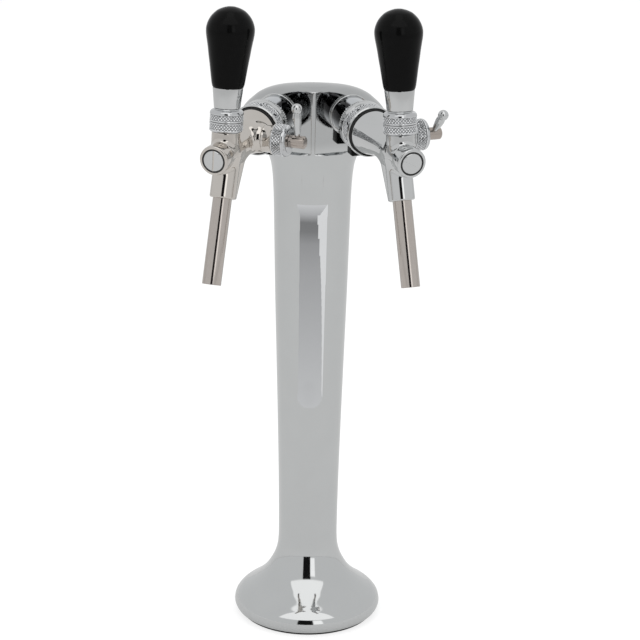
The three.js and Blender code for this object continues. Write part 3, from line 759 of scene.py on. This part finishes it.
def tap_body_mesh(voxel):
    """The cast body: a merged rough solid whose points are then moved onto the smooth filleted surface."""
    low, high = BARREL_ENDS
    barrel = [(low, 18.2)] + [p for p in BARREL if low < p[0] < high] + [(high, 11.8)]
    parts = [
        ([(r, x) for x, r in barrel], ALONG_X),
        ([(NECK_RADIUS, 0), (NECK_RADIUS, LOWER_COLLAR - 0.2)], NECK),
        ([(SOCKET_RADIUS, 0), (SOCKET_RADIUS, SOCKET_END)], SPOUT),
        ([(12, 0), (12, BOSS_END)], COMPENSATOR @ ALONG_Y),
    ]
    points, faces = rough_solid(parts)
    web_points, web_faces = web_block()
    faces += [tuple(len(points) + i for i in f) for f in web_faces]
    points += web_points
    data = bpy.data.meshes.new("rough")
    data.from_pydata(points, [], faces)
    rough = add_object("rough", data)
    remesh = rough.modifiers.new("merge", "REMESH")
    remesh.mode = "VOXEL"
    remesh.voxel_size = voxel
    merged = evaluated_mesh(rough)
    bpy.data.objects.remove(rough)
    p = np.zeros(len(merged.vertices) * 3)
    merged.vertices.foreach_get("co", p)
    p = p.reshape(-1, 3)
    for _ in range(SETTLE_STEPS):
        g = body_gradient(p)
        g2 = np.maximum((g * g).sum(1), 0.05)
        move = np.clip(body_distance(p) / g2, -LONGEST_MOVE, LONGEST_MOVE)
        p = p - g * move[:, None]
    merged.vertices.foreach_set("co", p.ravel())
    merged.update()
    return merged


def build_tap_body(name, shared, material):
    matrix = tap_matrix(name)
    data = shared.copy()
    co = np.zeros(len(data.vertices) * 3)
    data.vertices.foreach_get("co", co)
    normals = body_gradient(co.reshape(-1, 3))
    data.transform(matrix)
    turn = np.array(matrix.to_3x3()) / MM
    normals = normals @ turn.T
    normals /= np.linalg.norm(normals, axis=1)[:, None]
    data.shade_smooth()
    data.normals_split_custom_set_from_vertices(normals.tolist())
    data.materials.clear()
    data.materials.append(MATERIALS[material])
    piece = add_object(name + "_body_casting", data)
    place(piece, "tower", material, name + "_tap_body")


# ---- Turned pieces of one tap ----

def build_shank(name):
    matrix = tap_matrix(name) @ ALONG_X
    flange = [(8.8, 0.2), (17.6, 0.2), (17.6, 2.2), (8.8, 2.2), (8.8, 0.2)]
    piece = turned(name + "_face_flange", flange, matrix, "chrome", 128, 0.7)
    place(piece, "tower", "chrome", name + "_tap_flange")
    r = SLEEVE_RADIUS
    sleeve = [(13, 2.3), (r, 2.3), (r, 25.1), (13, 25.1), (13, 2.3)]
    piece = turned(name + "_sleeve", sleeve, matrix, "sleeve_painted_reflection", 160, 0.35)
    place(piece, "tower", "chrome", name + "_shank_sleeve")


def nut_relief(angles, r, h):
    """Fine teeth on the nut's rear edge, diamond knurling on its front band, and the spanner slots."""
    outside = r > NUT_RADIUS - 0.9
    teeth = 0.5 + 0.5 * np.cos(angles * NUT_TEETH)
    rear = -0.9 * teeth * outside * (h < 28.2)
    band = diamond(35.8, 43.6, NUT_RADIUS)(angles, r, h)
    around = np.abs(np.mod(angles * NUT_SLOTS / (2 * math.pi) + 0.25, 1) - 0.5)
    slot = (around < 0.085) & (np.abs(h - 40.2) < 1.2) & outside
    return np.where(slot, -3.0, rear + band)


def build_coupling_nut(name):
    """The knurled nut, its mouth open round a black washer."""
    r = NUT_RADIUS
    outline = [
        (13, 25.4), (r - 0.5, 25.4), (r, 25.9), (r, 28.0), (r - 1, 28.4), (r - 1, 29), (r, 29.4),
        (r, 33.6), (r - 1, 34.0), (r - 1, 34.9), (r, 35.3), (r, 43.8), (r + 0.6, 44.6), (r + 0.6, 46.3),
        (20.6, 47.1), (20.2, 47.1), (20.2, 45), (16.8, 45), (16.8, 29), (13, 29),
    ]
    dense = filled(outline, 0.26) + [outline[0]]
    matrix = tap_matrix(name) @ ALONG_X
    piece = turned(name + "_coupling", dense, matrix, "knurled_chrome", 612, 0.05, nut_relief, 28)
    polish_bands(piece, name)
    place(piece, "tower", "chrome", name + "_coupling_nut")
    washer = [(16.3, 45.3), (19.9, 45.3), (19.9, 46.2), (18.2, 47.6), (16.3, 47.7), (16.3, 45.3)]
    piece = turned(name + "_body_washer", washer, matrix, "rubber", 128, 0.2)
    place(piece, "tower", "rubber", name + "_body_gasket")


def polish_bands(piece, name):
    """The nut's plain band and beads get the plain chrome; only the knurled band keeps the knurled plating,
    with its painted shade in the grooves.
    """
    piece.data.materials.append(MATERIALS["chrome"])
    inverse = tap_matrix(name).inverted()
    for polygon in piece.data.polygons:
        x = (inverse @ polygon.center).x
        if not 35.5 < x < 43.8:
            polygon.material_index = 1


def build_plug(name, slot_angle):
    """The front plug with a straight spanner slot, in a black O-ring."""
    matrix = tap_matrix(name) @ ALONG_X
    ring = [(8.4, 124.2), (9.7, 124.2), (9.7, 127.5), (8.4, 127.5), (8.4, 124.2)]
    piece = turned(name + "_plug_seal", ring, matrix, "rubber", 96, 0.3)
    place(piece, "tower", "rubber", name + "_plug_o_ring")
    profile = [(0, 119.6), (8.4, 119.6), (8.4, 127.3), (7.9, 127.75), (0, 127.75)]
    piece = turned(name + "_plug", profile, matrix, "chrome", 128, 0.3)
    turn = Matrix.Rotation(slot_angle, 4, "X")
    size = Matrix.Diagonal((3.0, 24, 1.3, 1))
    cutter_data = bpy.data.meshes.new("cutter")
    tool = bmesh.new()
    at_face = tap_matrix(name) @ turn @ Matrix.Translation((127.7, 0, 0))
    bmesh.ops.create_cube(tool, size=1, matrix=at_face @ size)
    tool.to_mesh(cutter_data)
    tool.free()
    cutter = add_object("cutter", cutter_data)
    cut = piece.modifiers.new("slot", "BOOLEAN")
    cut.operation = "DIFFERENCE"
    cut.object = cutter
    made = evaluated_mesh(piece)
    piece.modifiers.clear()
    piece.data = made
    bpy.data.objects.remove(cutter)
    piece.data.set_sharp_from_angle(angle=30 * DEG)
    darken_slot(piece, (tap_matrix(name) @ turn).inverted())
    place(piece, "tower", "chrome", name + "_front_plug")


def darken_slot(piece, into_slot):
    """The slot's floor and walls are painted dark as shade."""
    piece.data.materials.clear()
    piece.data.materials.append(MATERIALS["chrome"])
    piece.data.materials.append(MATERIALS["slot_shade"])
    for polygon in piece.data.polygons:
        x, y, z = into_slot @ polygon.center
        inside = 126 < x < 127.65 and abs(z) < 0.7 and abs(y) < 7.9
        polygon.material_index = 1 if inside else 0


def build_spout(name):
    r, bore = TUBE_RADIUS, TUBE_BORE
    profile = [(bore, 27), (r, 27), (r, 107), (bore, 107), (bore, 27)]
    piece = turned(name + "_spout", profile, tap_matrix(name) @ SPOUT, "steel", 96, 0.35)
    place(piece, "tower", "steel", name + "_spout_tube")


def seat(radius, *reaches):
    """Points of the ball-shaped seat between the two collars, at these distances from the neck's axis."""
    return [(x, LEVER_PIVOT + math.sqrt(radius * radius - x * x)) for x in reaches]


def build_collars(name):
    """The fixed and the moving knurled collar, with a ball-shaped seat between them."""
    matrix = tap_matrix(name) @ NECK
    r = COLLAR_RADIUS
    low, high = LOWER_COLLAR, UPPER_COLLAR
    dome = seat(SEAT_RADIUS, r - 0.05, 12.8, 12.2, 11.7)
    rim = [(11.6, low), (r - 0.9, low), (r, low + 0.9), (r, dome[0][1] - 0.3)]
    fixed = rim + dome + [(11.6, low)]
    piece = knurled_collar(name + "_fixed_collar", fixed, 0.24, matrix, low + 1.5, dome[0][1] - 0.7, r)
    place(piece, "tower", "knurled_chrome", name + "_neck_collar")
    hollow = seat(SEAT_RADIUS + 0.4, 3, 6, 9, 11, r - 0.1)
    base = hollow[-1][1]
    shoulder = [(r, base + 0.3), (r, high - 4)] + arc((r - 3.4, high - 4), 3.4, 12, 78, 6)
    moving = hollow + shoulder + [(10.2, high), (3, high), hollow[0]]
    piece = knurled_collar(name + "_moving_collar", moving, 0.24, matrix, base + 0.9, high - 4.2, r)
    place(piece, name + "_lever", "knurled_chrome", name + "_lever_collar")


# The grip's outline: radius, and height over its lower edge.
GRIP = [
    (12.35, 0.6), (12.9, 2.6), (13.4, 5.6), (14.3, 11.9), (15.2, 18.2), (16.2, 24.5), (17.1, 30.8),
    (18.2, 37.1), (18.75, 40.3), (19.05, 43.5), (18.95, 46.5), (18.2, 49.6), (16.95, 52.6), (15, 55.7),
    (12, 58.8), (9.7, 60.4), (6.3, 61.9), (3, 62.8),
]
GRIP_LENGTH = 63.1


def build_lever(name):
    """The lever's stem, chrome ferrule and black grip."""
    matrix = tap_matrix(name) @ NECK
    p, start = LEVER_PIVOT, HANDLE_START
    stem = [(0, -3.2)] + arc((0, 0), 3.2, -80, 40, 8) + [(2.3, 3.2)] + arc((0, p), 6.2, -66, 64, 12)
    stem += [(2.6, p + 6.4), (2.6, start + 18.6), (2.0, start + 19.4), (0, start + 19.4)]
    piece = turned(name + "_stem", stem, matrix, "steel", 64, 0.3)
    place(piece, name + "_lever", "steel", name + "_lever_stem")
    low, high = UPPER_COLLAR + 0.2, start - 0.2
    cone = [(2.9, low), (10, low), (10.4, low + 0.5), (12.05, high), (2.9, high), (2.9, low)]
    piece = turned(name + "_ferrule", cone, matrix, "chrome", 128, 0.3)
    place(piece, name + "_lever", "chrome", name + "_lever_ferrule")
    curve = [(r, h + start) for r, h in spline(GRIP, 4)]
    bore = [(0, start + 20.4), (2.9, start + 20.4), (2.9, start), (11.9, start)]
    profile = bore + curve + [(0, start + GRIP_LENGTH)]
    piece = turned(name + "_grip", profile, matrix, "black_plastic", 128, 0.5, sharp=45)
    place(piece, name + "_lever", "black_plastic", name + "_handle")


def compensator_turn_at_rest(name):
    """How far forward the small lever leans at rest: the middle of its travel is upright."""
    low, high = JOINTS[name + "_compensator_turn"]["range_deg"]
    return -(low + high) / 2 * DEG


def build_compensator(name, metal):
    """The side valve: waisted bonnet, knurled collar, and the turning spindle with its small ball lever."""
    side = tap_matrix(name) @ COMPENSATOR
    start, end = BOSS_END + 0.1, 26.2
    waist = spline([(11, start), (10.7, 19.4), (10.8, 21.8), (11.4, 24), (12.2, end - 0.7)], 5)
    outside = [tuple(q) for q in waist] + [(12.2, end)]
    bonnet = [(3.8, start)] + outside + [(3.8, end), (3.8, start)]
    piece = turned(name + "_bonnet", bonnet, side @ ALONG_Y, metal, 128, 0.3)
    place(piece, "tower", metal, name + "_compensator_bonnet")
    shoulder = arc((9.6, 35.4), 3.3, 0, 80, 7)
    collar = [(3.8, 26.4), (12.3, 26.4), (12.9, 27)] + shoulder + [(9.4, 38.6), (3.8, 38.6), (3.8, 26.4)]
    piece = knurled_collar(name + "_flow_collar", collar, 0.26, side @ ALONG_Y, 27.2, 35.2, 12.9)
    place(piece, "tower", "knurled_chrome", name + "_compensator_collar")
    body = name + "_compensator"
    turning = side @ Matrix.Rotation(compensator_turn_at_rest(name), 4, "Y")
    stub = [(0, 4.6), (3.5, 4.6), (3.5, 38.6), (5.1, 38.8), (5.1, 51), (4.1, 52), (0, 52)]
    piece = turned(name + "_flow_spindle", stub, turning @ ALONG_Y, "warm_steel", 96, 0.25)
    pin = [(0, 1.6), (1.2, 1.6), (1.2, 5), (0, 5)]
    off_centre = turning @ Matrix.Translation((0, 0, -2.2)) @ ALONG_Y
    pin_piece = turned(name + "_eccentric_pin", pin, off_centre, "steel", 32, 0.2)
    place(piece, body, "nickel", name + "_compensator_spindle")
    place(pin_piece, body, "steel")
    ball = arc((0, 27.3), 4.3, -46, 84, 16)
    shape = spline([(1.5, 2), (1.6, 4.6), (2.3, 6), (2.9, 10), (3.4, 15), (3.65, 19.5), (3.3, 22.8)], 5)
    profile = [(0, 2)] + [tuple(q) for q in shape] + ball + [(0, 31.6)]
    lever = turning @ Matrix.Translation((0, 45.2, 0))
    piece = turned(name + "_flow_lever", profile, lever, "chrome", 96, 0.3, sharp=45)
    place(piece, body, "chrome", name + "_compensator_lever")


def build_lock_screw(name):
    """The black plastic block that hangs under the sleeve, its edges rounded by a bevel."""
    data = bpy.data.meshes.new(name + "_lock_block")
    tool = bmesh.new()
    size = Matrix.Diagonal((10.8, 11.2, 12.2, 1))
    bmesh.ops.create_cube(tool, size=1, matrix=Matrix.Translation((16, 0, -22.9)) @ size)
    bmesh.ops.bevel(tool, geom=list(tool.edges), offset=1.5, segments=4, profile=0.5, affect="EDGES")
    tool.to_mesh(data)
    tool.free()
    data.transform(tap_matrix(name))
    data.shade_smooth()
    data.set_sharp_from_angle(angle=35 * DEG)
    data.materials.append(MATERIALS["black_plastic"])
    place(add_object(name + "_lock_block", data), "tower", "black_plastic", name + "_lock_screw")


# ---- Carried-over CAD pieces ----

CARRIED = {
    "base_plate": "steel", "base_screw": "steel", "beer_line": "tubing", "insulation_core": "foam",
    "shank": "brass", "shank_nut": "brass", "coupling_seal": "rubber", "lever_packing": "rubber",
    "valve_piston": "steel", "piston_seal": "rubber", "compensator_cone": "black_plastic",
}


def dress_carried_nodes():
    """The pieces hidden inside keep their CAD shape and get a finish."""
    for node, piece in frame["nodes"].items():
        kind = node.split("_", 1)[1] if node.split("_")[0] in SIDES else node
        kind = "base_screw" if kind.startswith("base_screw") else kind
        if kind not in CARRIED or piece.hide_render:
            continue
        piece.data.materials.clear()
        piece.data.materials.append(MATERIALS[CARRIED[kind]])
        piece.data.shade_smooth()
        piece.data.set_sharp_from_angle(angle=30 * DEG)


# ---- Stage ----

FLOOR_REFLECTED = 0.42  # how brightly the paper glows in reflections
FLOOR_SEEN = 0.80  # and as the camera sees it
FLOOR_HALF = 14  # half its width, in metres


def build_floor():
    """A wide sheet of pale paper."""
    data = bpy.data.meshes.new("floor")
    corners = [(x * FLOOR_HALF, y * FLOOR_HALF, 0) for x, y in ((-1, -1), (1, -1), (1, 1), (-1, 1))]
    data.from_pydata(corners, [], [(0, 1, 2, 3)])
    floor = add_object("floor", data)
    material, nodes, links, shader = new_material("floor_paper")
    paper = noise(nodes, links, 60, 3)
    seen = nodes.new("ShaderNodeLightPath").outputs["Is Camera Ray"]
    glow = ramp(nodes, links, seen, FLOOR_REFLECTED, FLOOR_SEEN)
    links.new(tint(nodes, links, paper, (0.90,) * 3, (0.92,) * 3), shader.inputs["Emission Color"])
    links.new(glow, shader.inputs["Emission Strength"])
    shader.inputs["Base Color"].default_value = (0.28, 0.28, 0.28, 1)
    shader.inputs["Roughness"].default_value = 0.9
    shader.inputs["Specular IOR Level"].default_value = 0.1
    data.materials.append(material)


# Studio cards round the tower: azimuth range and elevation range in degrees, edge softness, brightness.
# Azimuth 0 is straight in front, and rises to the viewer's right.
CARDS = [
    ((-13, 10), (-3, 40), 2, 0.01),
    ((12, 24), (4, 34), 3, 1.35),
    ((-50, 50), (42, 80), 3, 1.25),
    ((-180, 180), (78, 91), 3, 1.25),
]


def build_world():
    """A pale soft studio: white all round, with brighter and darker cards that only the metal shows."""
    world = bpy.data.worlds.new("studio")
    world.use_nodes = True
    bpy.context.scene.world = world
    nodes, links = world.node_tree.nodes, world.node_tree.links
    background = nodes["Background"]
    x, y, z = split_xyz(nodes, links, nodes.new("ShaderNodeTexCoord").outputs["Generated"])
    backwards = math_node(nodes, links, "MULTIPLY", y, -1)
    azimuth = math_node(nodes, links, "MULTIPLY", math_node(nodes, links, "ARCTAN2", x, backwards), 1 / DEG)
    elevation = math_node(nodes, links, "MULTIPLY", math_node(nodes, links, "ARCSINE", z), 1 / DEG)
    base = nodes.new("ShaderNodeRGB")
    base.outputs[0].default_value = (0.73, 0.735, 0.74, 1)
    colour = base.outputs[0]
    for (az0, az1), (el0, el1), soft, bright in CARDS:
        masks = [
            step_node(nodes, links, azimuth, az0 - soft, az0),
            step_node(nodes, links, azimuth, az1 + soft, az1),
            step_node(nodes, links, elevation, el0 - soft, el0),
            step_node(nodes, links, elevation, el1 + soft, el1),
        ]
        mask = masks[0]
        for other in masks[1:]:
            mask = math_node(nodes, links, "MULTIPLY", mask, other)
        mix = nodes.new("ShaderNodeMix")
        mix.data_type = "RGBA"
        links.new(mask, mix.inputs["Factor"])
        links.new(colour, mix.inputs["A"])
        mix.inputs["B"].default_value = (bright, bright, bright, 1)
        colour = mix.outputs["Result"]
    seen = nodes.new("ShaderNodeLightPath")
    mix = nodes.new("ShaderNodeMix")
    mix.data_type = "RGBA"
    links.new(seen.outputs["Is Camera Ray"], mix.inputs["Factor"])
    links.new(colour, mix.inputs["A"])
    mix.inputs["B"].default_value = (1, 1, 1, 1)
    links.new(mix.outputs["Result"], background.inputs["Color"])
    background.inputs["Strength"].default_value = 1.0


def area_light(name, location, target, size, power):
    light = bpy.data.lights.new(name, "AREA")
    light.shape = "RECTANGLE"
    light.size, light.size_y = size
    light.energy = power
    lamp = add_object(name, light)
    lamp.location = location
    lamp.rotation_euler = (Vector(target) - Vector(location)).to_track_quat("-Z", "Y").to_euler()
    lamp.visible_glossy = False


# Soft lights, unseen in reflections: name, place, target and size in metres, power in watts.
LIGHTS = [
    ("key", (-1.6, -1.8, 2.2), (0, 0, 0.3), (1.6, 1.6), 22),
    ("fill", (1.9, -1.4, 1.8), (0, 0, 0.3), (1.6, 1.6), 16),
    ("top", (0, 0.4, 2.6), (0, 0, 0.2), (2.4, 2.4), 26),
]

CAMERA_DISTANCE = 2.0  # in metres, like its height
CAMERA_HEIGHT = 0.938
CAMERA_PITCH = 18.49 * DEG
CAMERA_YAW = 0.23 * DEG
CAMERA_ROLL = 0.86 * DEG
CAMERA_LENS = 138.5  # in millimetres, on a sensor 36 wide


def build_camera():
    data = bpy.data.cameras.new("camera")
    data.lens = CAMERA_LENS
    data.sensor_width = 36
    camera = add_object("camera", data)
    aim = Matrix.Rotation(-CAMERA_YAW, 4, "Z") @ Matrix.Rotation(math.pi / 2 - CAMERA_PITCH, 4, "X")
    roll = Matrix.Rotation(CAMERA_ROLL, 4, "Z")
    camera.matrix_world = Matrix.Translation((0, -CAMERA_DISTANCE, CAMERA_HEIGHT)) @ aim @ roll
    bpy.context.scene.camera = camera
    bpy.context.scene.view_settings.view_transform = "Standard"


# ---- Assembly ----

build_column()
build_gasket()
body_mesh = tap_body_mesh(BODY_VOXEL)
for tap, metal, slot_angle in (("left", "nickel", 85 * DEG), ("right", "chrome", -27 * DEG)):
    build_tap_body(tap, body_mesh, metal)
    build_shank(tap)
    build_coupling_nut(tap)
    build_plug(tap, slot_angle)
    build_spout(tap)
    build_collars(tap)
    build_lever(tap)
    build_compensator(tap, metal)
    build_lock_screw(tap)
dress_carried_nodes()
build_floor()
build_world()
for lamp in LIGHTS:
    area_light(*lamp)
build_camera()
